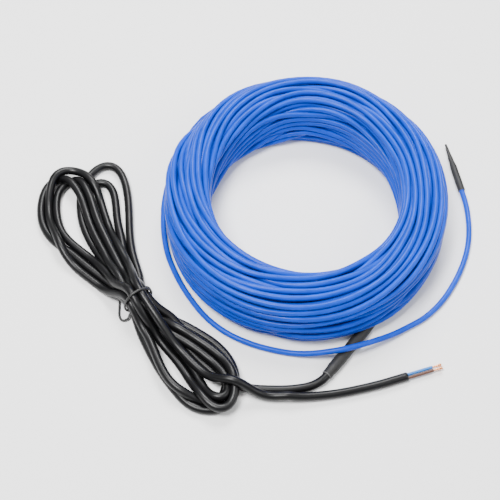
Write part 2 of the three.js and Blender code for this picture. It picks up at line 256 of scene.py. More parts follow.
# Camera and light, in metres and watts, with the camera's aim measured from the coil's centre
CAMERA_ELEVATION = math.radians(58.7)
CAMERA_DISTANCE = 0.958
CAMERA_LENS = 70.0
CAMERA_AIM_FROM_COIL = (-0.054, -0.038)
FLOOR_REACH = 6.0
SOFTBOXES = (
    ("key_softbox", (-0.5, -0.25, 1.7), 0.6, 60.0),
    ("fill_softbox", (1.2, -0.4, 1.2), 1.0, 14.0),
    ("back_softbox", (0.1, 1.2, 1.6), 0.8, 60.0),
)
WORLD_STRENGTH = 0.55


class CableSizes(bpy.types.PropertyGroup):
    cable_diameter: FloatProperty(
        name="Heating cable", description="Diameter of the blue heating cable",
        default=5.5 * MM, unit="LENGTH")
    lead_diameter: FloatProperty(
        name="Cold lead", description="Diameter of the black cold lead",
        default=8.2 * MM, unit="LENGTH")
    coil_mean_radius: FloatProperty(
        name="Coil radius", description="Radius of the middle of the coil's turns",
        default=115 * MM, unit="LENGTH")
    coil_width: FloatProperty(
        name="Coil width", description="Width of the coil's section, from bore to outside",
        default=45 * MM, unit="LENGTH")
    coil_height: FloatProperty(
        name="Coil height", description="Height of the coil lying on the floor",
        default=58 * MM, unit="LENGTH")
    coil_corner_radius: FloatProperty(
        name="Coil corners", description="Rounding of the coil's section",
        default=14 * MM, unit="LENGTH")
    coil_lean: FloatProperty(
        name="Coil lean", description="How far the top turns lie back over the bottom ones",
        default=9 * MM, unit="LENGTH")
    coil_bulge: FloatProperty(
        name="Coil bulge", description="How far the outer turns bulge at the front and the back",
        default=4.5 * MM, unit="LENGTH")
    turn_slices: IntProperty(
        name="Slices", description="Points along each turn of the coil", default=80)


class CableFinishes(bpy.types.PropertyGroup):
    blue: FloatVectorProperty(
        name="Blue sheath", description="Colour of the heating cable's sheath",
        default=(0.001, 0.045, 0.44), subtype="COLOR")
    black: FloatVectorProperty(
        name="Black sheath", description="Colour of the cold lead's sheath",
        default=(0.0025, 0.0025, 0.003), subtype="COLOR")
    floor: FloatVectorProperty(
        name="Floor", description="Colour of the plain studio floor",
        default=(0.86, 0.86, 0.86), subtype="COLOR")


def sizes():
    """The sizes in millimetres, as one plain dictionary."""
    group = bpy.context.scene.heating_cable_sizes
    names = [key for key in CableSizes.__annotations__ if key != "turn_slices"]
    values = {key: getattr(group, key) / MM for key in names}
    values["turn_slices"] = group.turn_slices
    return values


# Lines and tubes


def smooth_line(points, step):
    """Centripetal Catmull-Rom curve through the points, then points on it a step apart.

    Each stretch blends its four neighbours by the Barry and Goldman pyramid, whose knots lie
    the square root of the chord apart.
    """
    points = np.asarray(points, float)
    first = 2 * points[0] - points[1]
    last = 2 * points[-1] - points[-2]
    p = np.vstack([first, points, last])
    knots = np.append(0, np.cumsum(np.sqrt(np.linalg.norm(np.diff(p, axis=0), axis=1))))
    share = np.linspace(0, 1, 24, endpoint=False)
    t0, t1, t2, t3 = (knots[k:len(knots) - 3 + k, None, None] for k in range(4))
    p0, p1, p2, p3 = (p[k:len(p) - 3 + k, None, :] for k in range(4))
    t = t1 + (t2 - t1) * share[None, :, None]
    a1 = (t1 - t) / (t1 - t0) * p0 + (t - t0) / (t1 - t0) * p1
    a2 = (t2 - t) / (t2 - t1) * p1 + (t - t1) / (t2 - t1) * p2
    a3 = (t3 - t) / (t3 - t2) * p2 + (t - t2) / (t3 - t2) * p3
    b1 = (t2 - t) / (t2 - t0) * a1 + (t - t0) / (t2 - t0) * a2
    b2 = (t3 - t) / (t3 - t1) * a2 + (t - t1) / (t3 - t1) * a3
    curve = (t2 - t) / (t2 - t1) * b1 + (t - t1) / (t2 - t1) * b2
    return even_line(np.vstack([curve.reshape(-1, 3), points[-1]]), step)


def even_line(line, step):
    """The same line with its points a step apart, measured along it."""
    along = np.append(0, np.cumsum(np.linalg.norm(np.diff(line, axis=0), axis=1)))
    count = max(int(round(along[-1] / step)), 2) + 1
    wanted = np.linspace(0, along[-1], count)
    return np.stack([np.interp(wanted, along, line[:, axis]) for axis in range(3)], axis=1)


def line_frames(line, upright=(0.0, 0.0, 1.0)):
    """Tangent, side and up at each point; side is square to upright, which no tangent points along."""
    tangent = np.gradient(line, axis=0)
    tangent /= np.linalg.norm(tangent, axis=1, keepdims=True)
    side = np.cross(tangent, upright)
    side /= np.linalg.norm(side, axis=1, keepdims=True)
    return tangent, side, np.cross(side, tangent)


def sweep(line, radius, sides, squash=1.0, upright=(0.0, 0.0, 1.0)):
    """Rings round a line: centre + radius (cos a side + squash sin a up), a from 0 to one turn.

    radius and squash are numbers or one value for each point of the line. The same rings on a
    straight cable come with them.
    """
    _, side, up = line_frames(line, upright)
    radius = np.broadcast_to(radius, len(line))[:, None]
    squash = np.broadcast_to(squash, len(line))[:, None]
    angle = np.broadcast_to(2 * math.pi * np.arange(sides) / sides, (len(line), sides))
    across = (radius * np.cos(angle))[..., None] * side[:, None, :]
    upward = (radius * squash * np.sin(angle))[..., None] * up[:, None, :]
    along = np.append(0, np.cumsum(np.linalg.norm(np.diff(line, axis=0), axis=1)))
    straight = np.stack([
        np.broadcast_to(along[:, None], angle.shape),
        radius * np.cos(angle),
        radius * np.sin(angle),
    ], axis=-1)
    return line[:, None, :] + across + upward, straight


def ring_faces(rows, sides, first):
    """Quads between neighbouring rings and a fan at each closed end, as corner indices."""
    grid = first + 1 + np.arange(rows * sides).reshape(rows, sides)
    here, there = grid[:-1], grid[1:]
    corners = [here, np.roll(here, -1, 1), np.roll(there, -1, 1), there]
    quads = np.stack(corners, axis=-1).reshape(-1, 4)
    start = np.full(sides, first)
    end = np.full(sides, first + 1 + rows * sides)
    fans = np.concatenate([
        np.stack([start, np.roll(grid[0], -1), grid[0]], axis=-1),
        np.stack([end, grid[-1], np.roll(grid[-1], -1)], axis=-1),
    ])
    return quads, fans


def tube_piece(name, tubes):
    """One mesh of closed tubes; each tube is its rings and the same rings on a straight cable."""
    vertices, straights, quads, fans = [], [], [], []
    count = 0
    for rings, straight in tubes:
        rows, sides = rings.shape[:2]
        more_quads, more_fans = ring_faces(rows, sides, count)
        quads.append(more_quads)
        fans.append(more_fans)
        for store, grid in ((vertices, rings), (straights, straight)):
            store += [grid[0].mean(axis=0)[None], grid.reshape(-1, 3), grid[-1].mean(axis=0)[None]]
        count += rows * sides + 2
    vertices = np.concatenate(vertices) * MM
    straights = np.concatenate(straights) * MM
    if not np.isfinite(vertices).all():
        raise RuntimeError(f"{name}: a tube's line has points that aren't numbers")
    quads, fans = np.concatenate(quads), np.concatenate(fans)
    corners = np.concatenate([quads.ravel(), fans.ravel()])
    starts = np.concatenate([4 * np.arange(len(quads)), quads.size + 3 * np.arange(len(fans))])
    mesh = bpy.data.meshes.new(name)
    mesh.vertices.add(len(vertices))
    mesh.vertices.foreach_set("co", vertices.ravel())
    mesh.loops.add(len(corners))
    mesh.loops.foreach_set("vertex_index", corners.astype(np.int32))
    mesh.polygons.add(len(starts))
    mesh.polygons.foreach_set("loop_start", starts.astype(np.int32))
    mesh.polygons.foreach_set("use_smooth", np.ones(len(starts), bool))
    attribute = mesh.attributes.new("straight_cable", "FLOAT_VECTOR", "POINT")
    attribute.data.foreach_set("vector", straights.ravel())
    mesh.update(calc_edges=True)
    mesh.validate()
    piece = bpy.data.objects.new(name, mesh)
    bpy.context.scene.collection.objects.link(piece)
    return piece


def round_ends(rings, straight, depth):
    """The rings with a small rounding at both ends, so that a cut edge is soft.

    The last ring becomes a shoulder this depth further in, and one drawn in to 0.93 of its size
    closes the end.
    """
    drawn_in = 0.93
    for end, neighbour in ((0, 1), (-1, -2)):
        centre = rings[end].mean(axis=0)
        inward = rings[neighbour].mean(axis=0) - centre
        inward /= np.linalg.norm(inward)
        cap = centre + (rings[end] - centre) * drawn_in
        shoulder = rings[end] + inward * depth
        flat_cap = straight[end][None] * [1, drawn_in, drawn_in]
        if end == 0:
            rings = np.concatenate([cap[None], shoulder[None], rings[1:]])
            straight = np.concatenate([flat_cap, straight])
        else:
            rings = np.concatenate([rings[:-1], shoulder[None], cap[None]])
            straight = np.concatenate([straight, flat_cap])
    return rings, straight


# Places beside the coil


def heading(degrees):
    """The level unit vector this many degrees round from +X: (cos, sin, 0)."""
    return np.array([math.cos(math.radians(degrees)), math.sin(math.radians(degrees)), 0.0])


def placed(points):
    """Points as the construction writes them, moved into the frame; z stays."""
    return np.array(points, float) + CENTRING


def beside_coil(degrees, distance, height, size):
    """A point this far outside the coil's wall, that many degrees round its axis."""
    angle = np.radians(degrees)
    reach = size["coil_mean_radius"] + size["coil_width"] / 2 + distance
    return np.array([
        COIL_CENTRE[0] + reach * math.cos(angle),
        COIL_CENTRE[1] + reach * math.sin(angle),
        height,
    ])


def sleeve_ends(size):
    """The ends of the splice sleeve's axis: beside the coil, and a sleeve's length ahead."""
    start = beside_coil(SLEEVE_COIL_ANGLE, SLEEVE_COIL_OFFSET, SLEEVE_DIAMETER / 2, size)
    return start, start + SLEEVE_LENGTH * heading(SLEEVE_HEADING)


# The coil's turns


def section_wall(points, size, inset):
    """Signed distance outside the coil's rounded section and the way back in, for (out, up) points.

    Rounded rectangle: with q the distances past the straight core, the distance is the length of
    the positive part of q, plus the larger of q where both are negative, less the corner radius.
    """
    half = np.array([size["coil_width"], size["coil_height"]]) / 2 - inset
    corner = size["coil_corner_radius"] - inset
    offset = points - [0.0, size["coil_height"] / 2]
    q = np.abs(offset) - (half - corner)
    outside = np.maximum(q, 0)
    reach = np.linalg.norm(outside, axis=-1)
    distance = reach + np.minimum(q.max(axis=-1), 0) - corner
    side = np.where(q[..., 0] > q[..., 1], 0, 1)
    flat = np.eye(2)[side]
    direction = np.where(reach[..., None] > 1e-6, outside / np.maximum(reach, 1e-6)[..., None], flat)
    return distance, -direction * np.sign(offset)


def lay_angle(theta, turn):
    """How far the bundle of turns is twisted about its own middle, in radians, at a place.

    The turns climb the outer wall and cross inwards over the top at the left and at the front
    right, and swing back at the back right; one full turn adds the golden angle, which fills
    the section evenly.
    """
    swing = sum(amount * np.sin(waves * theta - math.radians(phase))
                for waves, amount, phase in LAY_SWINGS)
    return GOLDEN_ANGLE * turn + swing


def sunflower_places(theta, turn, turns, size, rng):
    """Where the turns start in the section: rho (cos a, sin a), drawn out to a rounded square.

    rho is the root of the share of turns laid so far and a the lay angle. Slow sine waves of
    random phase then make each turn wander.
    """
    rho = np.sqrt((turn + 1.0) / (turns + 1.5))
    angle = lay_angle(theta, turn)
    disc = np.stack([np.cos(angle), np.sin(angle)], axis=1)
    power = SECTION_SQUARENESS
    square = (np.abs(disc) ** power).sum(axis=1, keepdims=True) ** (-1 / power)
    half = np.array([size["coil_width"], size["coil_height"]]) / 2 - size["cable_diameter"] / 2
    place = rho[:, None] * disc * square * half + [0.0, size["coil_height"] / 2]
    for waves, amount in WANDERS:
        phase = rng.uniform(0, 2 * math.pi, 2)
        drift = rng.uniform(0.9, 1.1, 2)
        place += amount * np.sin(waves * drift * theta[:, None] + phase)
    return place


def pushed_apart(place, spacing, slices):
    """Places after turns in the same slice closer than the spacing have pushed each other.

    Each pair moves apart along the line between them by a share of what it lacks.
    """
    count = len(place)
    rows = int(math.ceil(count / slices))
    padded = np.full((rows * slices, 2), np.nan)
    padded[:count] = place
    grid = padded.reshape(rows, slices, 2).transpose(1, 0, 2)
    gap = grid[:, :, None, :] - grid[:, None, :, :]
    distance = np.sqrt((gap ** 2).sum(axis=-1))
    close = (distance < spacing) & (distance > 1e-6)
    push = np.where(close, (spacing - distance) / np.where(close, distance, 1.0), 0.0)
    move = np.nansum(push[..., None] * gap, axis=2) * TURN_PUSH
    move = move.transpose(1, 0, 2).reshape(-1, 2)[:count]
    length = np.linalg.norm(move, axis=1, keepdims=True)
    return place + move * np.minimum(1.0, LONGEST_TURN_PUSH / np.maximum(length, 1e-9))


def wind_turns(size):
    """The centreline of all the turns, in millimetres, from the splice to the loose end.

    Starts as a sunflower spiral of turns in the section. Then, again and again, turns in the same
    slice push each other to a cable's width apart, each turn is straightened along its own
    length, and the coil's walls, the floor and the splice sleeve keep them out.
    """
    cable = size["cable_diameter"]
    slices = size["turn_slices"]
    sleeve_start, sleeve_end = sleeve_ends(size)
    start = sleeve_end - CABLE_IN_SLEEVE * heading(SLEEVE_HEADING)
    start_polar = start[:2] - COIL_CENTRE
    start_angle = math.atan2(start_polar[1], start_polar[0])
    turns = FULL_TURNS + (math.radians(TAIL_ROUTE[0][0]) - start_angle) / (2 * math.pi)
    count = int(round(turns * slices)) + 1
    index = np.arange(count)
    turn = index / (count - 1) * turns
    theta = start_angle + 2 * math.pi * turn
    place = sunflower_places(theta, turn, turns, size, np.random.default_rng(SEED))

    step = 2 * math.pi * size["coil_mean_radius"] / slices
    first = start + np.arange(LEAD_IN_POINTS)[:, None] * step * heading(SLEEVE_HEADING)
    from_axis = np.linalg.norm(first[:, :2] - COIL_CENTRE, axis=1)
    place[:LEAD_IN_POINTS, 0] = from_axis - size["coil_mean_radius"]
    place[:LEAD_IN_POINTS, 1] = SLEEVE_DIAMETER / 2
    fall = np.arange(LEAD_OUT_POINTS)[::-1] * LEAD_OUT_FALL
    place[-LEAD_OUT_POINTS:, 0] = size["coil_width"] / 2 + cable / 2 + FIT_GAP
    place[-LEAD_OUT_POINTS:, 1] = TAIL_ROUTE[0][2] + fall
    pinned = (index < LEAD_IN_POINTS) | (index >= count - LEAD_OUT_POINTS)
    fixed = place[pinned].copy()
    free_of_wall = index > count - int(LEAVING_SHARE_OF_TURN * slices)

    rounds = WINDING_ROUNDS
    for number in range(rounds):
        spacing = cable * min(FULL_SPACING, FIRST_SPACING + SPACING_GROWTH * number / rounds)
        place = pushed_apart(place, spacing, slices)
        bend = place[2:] + place[:-2] - 2 * place[1:-1]
        place[1:-1] += TURN_SMOOTHING * bend
        place[2:-2] -= TURN_STIFFNESS * (bend[2:] + bend[:-2] - 2 * bend[1:-1])
        wall, inward = section_wall(place, size, cable / 2)
        wall = np.where(free_of_wall, 0.0, np.maximum(wall, 0.0))
        place = place + wall[:, None] * inward
        place = clear_of_sleeve(place, theta, size, sleeve_start, sleeve_end)
        place[pinned] = fixed
    place[:, 1] = np.maximum(place[:, 1], cable / 2)
    return coil_points(place, theta, size)


def coil_points(place, theta, size):
    """World points of (out from the mean radius, up) places.

    Higher places lean to the back, and the outer ones bulge to the front and the back, most
    where the sine of the angle is one.
    """
    outward = np.clip(place[:, 0] / size["coil_width"] + 0.5, 0, 1)
    bulge = size["coil_bulge"] * outward ** 2 * np.sin(theta) ** 2
    reach = size["coil_mean_radius"] + place[:, 0] + bulge
    lean = size["coil_lean"] * (place[:, 1] / size["coil_height"] - 0.5)
    lean = np.where(place[:, 0] > size["coil_width"] / 2, 0.0, lean)
    return np.stack([
        COIL_CENTRE[0] + reach * np.cos(theta),
        COIL_CENTRE[1] + reach * np.sin(theta) + lean,
        place[:, 1],
    ], axis=1)


def clear_of_sleeve(place, theta, size, start, end):
    """Lifts turns off the splice sleeve, the segment from start to end with its own radius."""
    points = coil_points(place, theta, size)
    axis = end - start
    share = np.clip(((points - start) @ axis) / (axis @ axis), 0, 1)
    away = points - (start + share[:, None] * axis)
    distance = np.linalg.norm(away, axis=1)
    need = SLEEVE_DIAMETER / 2 + size["cable_diameter"] / 2
    lift = np.where(distance < need, need - distance, 0.0)
    direction = away / np.maximum(distance, 1e-6)[:, None]
    outward = direction[:, 0] * np.cos(theta) + direction[:, 1] * np.sin(theta)
    moved = place.copy()
    moved[:, 0] += lift * outward
    moved[:, 1] += lift * np.maximum(direction[:, 2], LEAST_RISE_OVER_SLEEVE)
    return moved


def tail_line(size):
    """The loose end's centreline: a smooth curve through its route beside the coil's wall."""
    points = [beside_coil(degrees, distance + size["cable_diameter"] / 2 + FIT_GAP, height, size)
              for degrees, distance, height in TAIL_ROUTE]
    return smooth_line(points, TAIL_STEP)


# The cold lead


def tie_strand(slot, upward, size):
    """Three points of a strand in the tie, in the order in which the lead runs through it."""
    along = heading(TIE_HEADING) * (-1 if upward else 1)
    across = heading(TIE_HEADING + 90)
    place = np.array([*TIE_CENTRE, TIE_HEIGHT]) + CENTRING
    place = place + (slot[0] * across + slot[1] * np.array([0, 0, 1.0])) * size["lead_diameter"]
    return [place + share * TIE_HALF_LENGTH * along for share in (-1, 0, 1)]


def lead_route(size):
    """The whole lead's given route, from inside the splice sleeve to its stripped end."""
    start = sleeve_ends(size)[0]
    ahead = heading(SLEEVE_HEADING)
    route = [start + LEAD_IN_SLEEVE * ahead, start, start - LEAD_PAST_SLEEVE * ahead]
    route += list(placed(RUN_IN_ROUTE))
    for number, (points, slot) in enumerate(HANK_PASSES):
        route += list(placed(points))
        if slot is not None:
            route += tie_strand(slot, number % 2 == 0, size)
    return np.array(route + list(placed(RUN_OUT_ROUTE)))


def held_points(line):
    """Which points of the lead stay put: both ends, and the strands in the middle of the tie."""
    order = np.arange(len(line))
    from_tie = line - (np.array([*TIE_CENTRE, TIE_HEIGHT]) + CENTRING)
    in_tie = np.linalg.norm(from_tie, axis=1) < TIE_HALF_LENGTH + TIE_REACH
    in_tie &= np.abs(from_tie @ heading(TIE_HEADING)) < TIE_HALF_LENGTH / 2
    return in_tie | (order < HELD_AT_SPLICE) | (order > len(line) - HELD_AT_END)


def settle_lead(line, size):
    """Lets the hank's strands push each other apart to a lead's width and rest on the floor.

    Points far apart along the lead but closer than its diameter move apart along the line between
    them. Each point is drawn back to where its route laid it, the line is stiffened, a bend sharper
    than the lead can take is eased, and the floor holds the lead up.
    """
    diameter = size["lead_diameter"]
    home = line.copy()
    held = held_points(line)
    sharpest = SETTLE_STEP ** 2 / TIGHTEST_BEND
    wanted = diameter * STRAND_SPACING
    rounds = SETTLE_ROUNDS
    for number in range(rounds):
        if number % PAIRS_KEPT == 0:
            least_along = int(PAIR_LEAST_ALONG * diameter / SETTLE_STEP)
            one, other = near_pairs(line, PAIR_REACH * diameter, least_along)
        gap = line[one] - line[other]
        distance = np.maximum(np.linalg.norm(gap, axis=1), 1e-6)
        firm = FIRM_PUSH if number < FIRM_ROUNDS_SHARE * rounds else SOFT_PUSH
        push = firm * np.maximum(wanted / distance - 1, 0)[:, None] * gap
        move = np.zeros_like(line)
        np.add.at(move, one, push)
        np.add.at(move, other, -push)
        reach = np.linalg.norm(move, axis=1, keepdims=True)
        line = line + move * np.minimum(1, LONGEST_STRAND_PUSH / np.maximum(reach, 1e-9))
        pull = PULL_HOME * (home - line)
        pull[:, 2] = -SINKING
        line = line + pull
        for _ in range(STIFFENING_PASSES):
            bend = line[2:] + line[:-2] - 2 * line[1:-1]
            line[2:-2] -= STRAND_STIFFNESS * (bend[2:] + bend[:-2] - 2 * bend[1:-1])
        for _ in range(EASING_PASSES):
            bend = line[2:] + line[:-2] - 2 * line[1:-1]
            amount = np.maximum(np.linalg.norm(bend, axis=1, keepdims=True), 1e-9)
            line[1:-1] += BEND_EASING * np.maximum(1 - sharpest / amount, 0) * bend
            line[held] = home[held]
        line[:, 2] = np.maximum(line[:, 2], diameter / 2 + FLOOR_CLEARANCE)
    return line


def near_pairs(line, reach, along):
    """Pairs of points closer than reach that lie more than this many points apart on the line."""
    gap = line[:, None, :] - line[None, :, :]
    near = (gap ** 2).sum(axis=-1) < reach ** 2
    return np.nonzero(np.triu(near, along + 1))


# Sleeve, seal, cores and tie


def shrink_profile(along, stops):
    """Radius along a shrunk tube: eased between the stops (place, radius) by half a cosine each."""
    places, radii = np.array(stops, float).T
    index = np.clip(np.searchsorted(places, along) - 1, 0, len(places) - 2)
    share = np.clip((along - places[index]) / (places[index + 1] - places[index]), 0, 1)
    ease = (1 - np.cos(math.pi * share)) / 2
    return radii[index] + (radii[index + 1] - radii[index]) * ease


def sleeve_tube(size):
    """The splice's shrink tube: a thick rim on the lead, the two joints' swellings, a long taper.

    Rings along a straight axis with the eased outline, slightly flattened in the middle.
    """
    start, _ = sleeve_ends(size)
    along = np.linspace(0, SLEEVE_LENGTH, SLEEVE_ROWS)
    lead, body, cable = size["lead_diameter"] / 2, SLEEVE_DIAMETER / 2, size["cable_diameter"] / 2
    stops = [(place, lead + past) for place, past in SLEEVE_ON_LEAD]
    stops += [(place, body + past) for place, past in SLEEVE_OVER_JOINTS]
    stops += [(SLEEVE_LENGTH - back, cable + past) for back, past in SLEEVE_ON_CABLE]
    line = start + along[:, None] * heading(SLEEVE_HEADING)
    squash = 1 - 0.05 * np.sin(math.pi * along / SLEEVE_LENGTH)
    return round_ends(*sweep(line, shrink_profile(along, stops), SLEEVE_SIDES, squash), 0.15)


def seal_tube(tail):
    """The end seal: a shrink tube over the cable's end, drawn to a flat pinched tip.

    Rings along the cable's last direction with the eased outline and fine sine ribs that fade
    out along the body; past the body their height is pinched more and more.
    """
    ahead = tail[-1] - tail[-2]
    ahead[2] = 0
    ahead /= np.linalg.norm(ahead)
    along = np.linspace(0, SEAL_LENGTH, SEAL_ROWS)
    line = np.array([*tail[-1][:2], SEAL_HEIGHT]) + (along[:, None] - SEAL_OVERLAP) * ahead
    stops = [(place, SEAL_DIAMETER / 2 + past) for place, past in SEAL_BODY]
    stops += [(SEAL_LENGTH - back, SEAL_TIP_DIAMETER / 2 + past) for back, past in SEAL_TIP]
    ribs = SEAL_RIB_DEPTH * np.sin(2 * math.pi * along / SEAL_RIB_PITCH)
    ribs *= np.clip(1 - along / SEAL_BODY_LENGTH, 0, 1)
    to_tip = np.clip((along - SEAL_BODY_LENGTH) / (SEAL_LENGTH - SEAL_BODY_LENGTH), 0, 1)
    squash = 1 - SEAL_PINCH * to_tip ** 0.8
    return round_ends(*sweep(line, shrink_profile(along, stops) + ribs, SEAL_SIDES, squash), 0.1)


def core_start(side):
    """Start and heading of one core: half a core's width to its side of the lead's end."""
    end, before = placed(RUN_OUT_ROUTE[-1:])[0], placed(RUN_OUT_ROUTE[-2:-1])[0]
    last = end - before
    degrees = math.degrees(math.atan2(last[1], last[0]))
    across = heading(degrees + 90) * side
    return end + across * (CORE_DIAMETER + FIT_GAP) / 2, degrees


def core_tube(side):
    """One core's insulation: a straight tube that starts inside the lead."""
    start, degrees = core_start(side)
    along = np.linspace(-CORE_IN_LEAD, CORE_LENGTH, 40)
    line = start + along[:, None] * heading(degrees)
    return round_ends(*sweep(line, CORE_DIAMETER / 2, CORE_SIDES), 0.12)


def core_wires(side, rng):
    """The bared strands of one core: fine wires on a twisted sunflower that opens at the ends."""
    start, degrees = core_start(side)
    ahead = heading(degrees)
    across = heading(degrees + 90)
    along = np.linspace(-WIRE_IN_CORE, WIRE_LENGTH, 16)
    share = np.clip(along / WIRE_LENGTH, 0, 1)
    tubes = []
    for wire in range(WIRES_PER_CORE):
        opening = 1 + WIRE_SPLAY * share ** 1.4 * rng.uniform(0.3, 1.25)
        radius = WIRE_BUNDLE_RADIUS * math.sqrt((wire + 0.5) / WIRES_PER_CORE) * opening
        angle = wire * GOLDEN_ANGLE + WIRE_TWIST_PER_MM * along + rng.uniform(-0.2, 0.2)
        length = rng.uniform(0.9, 1.03)
        line = start + (CORE_LENGTH + along * length)[:, None] * ahead
        line = line + (radius * np.cos(angle))[:, None] * across
        line[:, 2] += radius * np.sin(angle)
        tubes.append(round_ends(*sweep(line, WIRE_DIAMETER / 2, WIRE_SIDES), 0.05))
    return tubes


def tie_tubes():
    """The wire tie: an ellipse round the bundle, a little more than one turn, and a loose loop.

    The ring's ends overlap: they swell outwards and slant along the bundle.
    """
    ahead = heading(TIE_HEADING)
    across = heading(TIE_HEADING + 90)
    centre = np.array([*TIE_CENTRE, TIE_HEIGHT]) + CENTRING
    angle = np.linspace(math.radians(TIE_FROM), math.radians(TIE_TO), 150)
    swell = 1 + 0.03 * np.clip(np.abs(angle - math.pi) / math.pi - 0.8, 0, 1)
    ring = centre + (TIE_ACROSS * swell * np.cos(angle))[:, None] * across
    ring = ring + (TIE_SLANT * np.sin(angle / 2 + 0.4))[:, None] * ahead
    ring[:, 2] += TIE_UP * swell * np.sin(angle)
    loop = smooth_line(placed(TIE_LOOP), 0.8)
    radius = TIE_WIRE_DIAMETER / 2
    return [round_ends(*sweep(ring, radius, TIE_SIDES, upright=tuple(ahead)), 0.1),
            round_ends(*sweep(loop, radius, TIE_SIDES), 0.1)]


# Materials


class Shader:
    """A material's node tree with one principled shader, and short ways to add nodes to it."""

    def __init__(self, name):
        self.material = bpy.data.materials.new(name)
        self.material.use_nodes = True
        self.tree = self.material.node_tree
        self.shader = self.tree.nodes["Principled BSDF"]

    def node(self, kind, values=(), **links):
        """A node with these settings and socket values, linked to these outputs of others."""
        made = self.tree.nodes.new(kind)
        for name, value in dict(values).items():
            if hasattr(made, name):
                setattr(made, name, value)
            else:
                made.inputs[name].default_value = value
        for name, source in links.items():
            self.tree.links.new(source, made.inputs[name.replace("_", " ")])
        return made

    def link(self, source, socket):
        """Feeds one of the shader's own sockets from a node's output."""
        self.tree.links.new(source, self.shader.inputs[socket])

    def set(self, **values):
        """Sets constant values on the shader's own sockets."""
        for name, value in values.items():
            self.shader.inputs[name.replace("_", " ")].default_value = value

    def straight(self, scale):
        """The point's place on the cable laid straight, scaled, so that patterns follow it."""
        place = self.node("ShaderNodeAttribute", {"attribute_name": "straight_cable"})
        scaled = self.node("ShaderNodeMapping", {"Scale": scale}, Vector=place.outputs["Vector"])
        return scaled.outputs[0]

    def noise(self, vector, detail=3.0, rough=0.55):
        """Cloudy noise on a vector that is already scaled."""
        values = {"Scale": 1.0, "Detail": detail, "Roughness": rough}
        return self.node("ShaderNodeTexNoise", values, Vector=vector).outputs["Fac"]

    def ramp(self, factor, stops):
        """Colours read off between (position, colour) stops."""
        made = self.node("ShaderNodeValToRGB", Fac=factor)
        elements = made.color_ramp.elements
        while len(elements) < len(stops):
            elements.new(0.5)
        for element, (position, color) in zip(elements, stops):
            element.position = position
            element.color = (*color, 1.0)
        return made.outputs["Color"]

    def bump(self, height, strength, distance, below=None):
        """A normal that this height disturbs, on top of another normal where one is given."""
        values = {"Strength": strength, "Distance": distance}
        made = self.node("ShaderNodeBump", values, Height=height)
        if below is not None:
            self.tree.links.new(below, made.inputs["Normal"])
        return made.outputs["Normal"]


def grey(value):
    return (value, value, value)


def tinted(color, factor):
    """The colour with each channel times the factor, at most one."""
    return tuple(min(1.0, channel * factor) for channel in color)


def sheath_material(name, color, rough, streaks, gloss):
    """Extruded plastic: fine lengthwise draw lines, faint mottling and handling scuffs."""
    made = Shader(name)
    long_lines = made.noise(made.straight((6.0, 420.0, 420.0)), 4.0, 0.6)
    mottle = made.noise(made.straight((60.0, 160.0, 160.0)), 3.0, 0.5)
    scuffs = made.noise(made.straight((35.0, 900.0, 900.0)), 5.0, 0.7)
    shades = [(0.3, tinted(color, 0.84)), (0.55, color), (0.8, tinted(color, 1.18))]
    made.link(made.ramp(mottle, shades), "Base Color")
    made.link(made.ramp(scuffs, [(0.4, grey(rough)), (0.75, grey(rough + streaks))]), "Roughness")
    fine = made.bump(long_lines, 0.25, 0.0002)
    made.link(made.bump(mottle, 0.2, 0.0004, fine), "Normal")
    made.set(Specular_IOR_Level=gloss)
    return made.material


def shrink_material(name, rim):
    """Shrunk tube: dull black rubber with fine cross wrinkles, and a painted highlight at its first
    edge: a paler grey band.
    """
    made = Shader(name)
    wrinkles = made.noise(made.straight((1400.0, 90.0, 90.0)), 4.0, 0.6)
    cloud = made.noise(made.straight((110.0, 200.0, 200.0)), 4.0, 0.6)
    black = made.ramp(cloud, [(0.3, grey(0.004)), (0.6, grey(0.008)), (0.85, grey(0.02))])
    place = made.node("ShaderNodeAttribute", {"attribute_name": "straight_cable"}).outputs["Vector"]
    along = made.node("ShaderNodeSeparateXYZ", Vector=place).outputs["X"]
    edge = made.node("ShaderNodeMapRange", {"From Min": rim, "From Max": 0.5 * rim}, Value=along)
    # Painted highlight: the paler grey band at the tube's first edge stands in for light catching its
    # rim
    rim_highlight = {"Color2": (*grey(0.07), 1.0)}
    color = made.node("ShaderNodeMixRGB", rim_highlight, Fac=edge.outputs["Result"], Color1=black)
    made.link(color.outputs["Color"], "Base Color")
    made.link(made.ramp(cloud, [(0.3, grey(0.5)), (0.8, grey(0.72))]), "Roughness")
    coarse = made.bump(cloud, 0.35, 0.0008)
    made.link(made.bump(wrinkles, 0.4, 0.0004, coarse), "Normal")
    made.set(Specular_IOR_Level=0.45)
    return made.material


def core_material(name, color):
    """Smooth insulation of one core with faint draw lines."""
    made = Shader(name)
    lines = made.noise(made.straight((30.0, 1500.0, 1500.0)), 3.0, 0.5)
    made.link(made.ramp(lines, [(0.3, tinted(color, 0.85)), (0.7, tinted(color, 1.15))]),
              "Base Color")
    made.link(made.bump(lines, 0.2, 0.0001), "Normal")
    made.set(Roughness=0.38)
    return made.material


def copper_material():
    """Bare copper wires, a little tarnished in patches."""
    made = Shader("copper")
    patches = made.noise(made.straight((500.0, 2500.0, 2500.0)), 3.0, 0.6)
    shades = [(0.35, (0.66, 0.28, 0.12)), (0.65, (0.98, 0.52, 0.30))]
    made.link(made.ramp(patches, shades), "Base Color")
    made.link(made.ramp(patches, [(0.3, grey(0.42)), (0.7, grey(0.26))]), "Roughness")
    made.link(made.bump(patches, 0.2, 0.0001), "Normal")
    made.set(Metallic=1.0)
    return made.material


def tie_material():
    """Plastic-coated tie wire, matt black with worn spots."""
    made = Shader("tie_coating")
    spots = made.noise(made.straight((300.0, 700.0, 700.0)), 4.0, 0.6)
    made.link(made.ramp(spots, [(0.4, grey(0.012)), (0.8, grey(0.04))]), "Base Color")
    made.link(made.ramp(spots, [(0.3, grey(0.42)), (0.8, grey(0.65))]), "Roughness")
    made.link(made.bump(spots, 0.35, 0.0003), "Normal")
    return made.material


# Steps


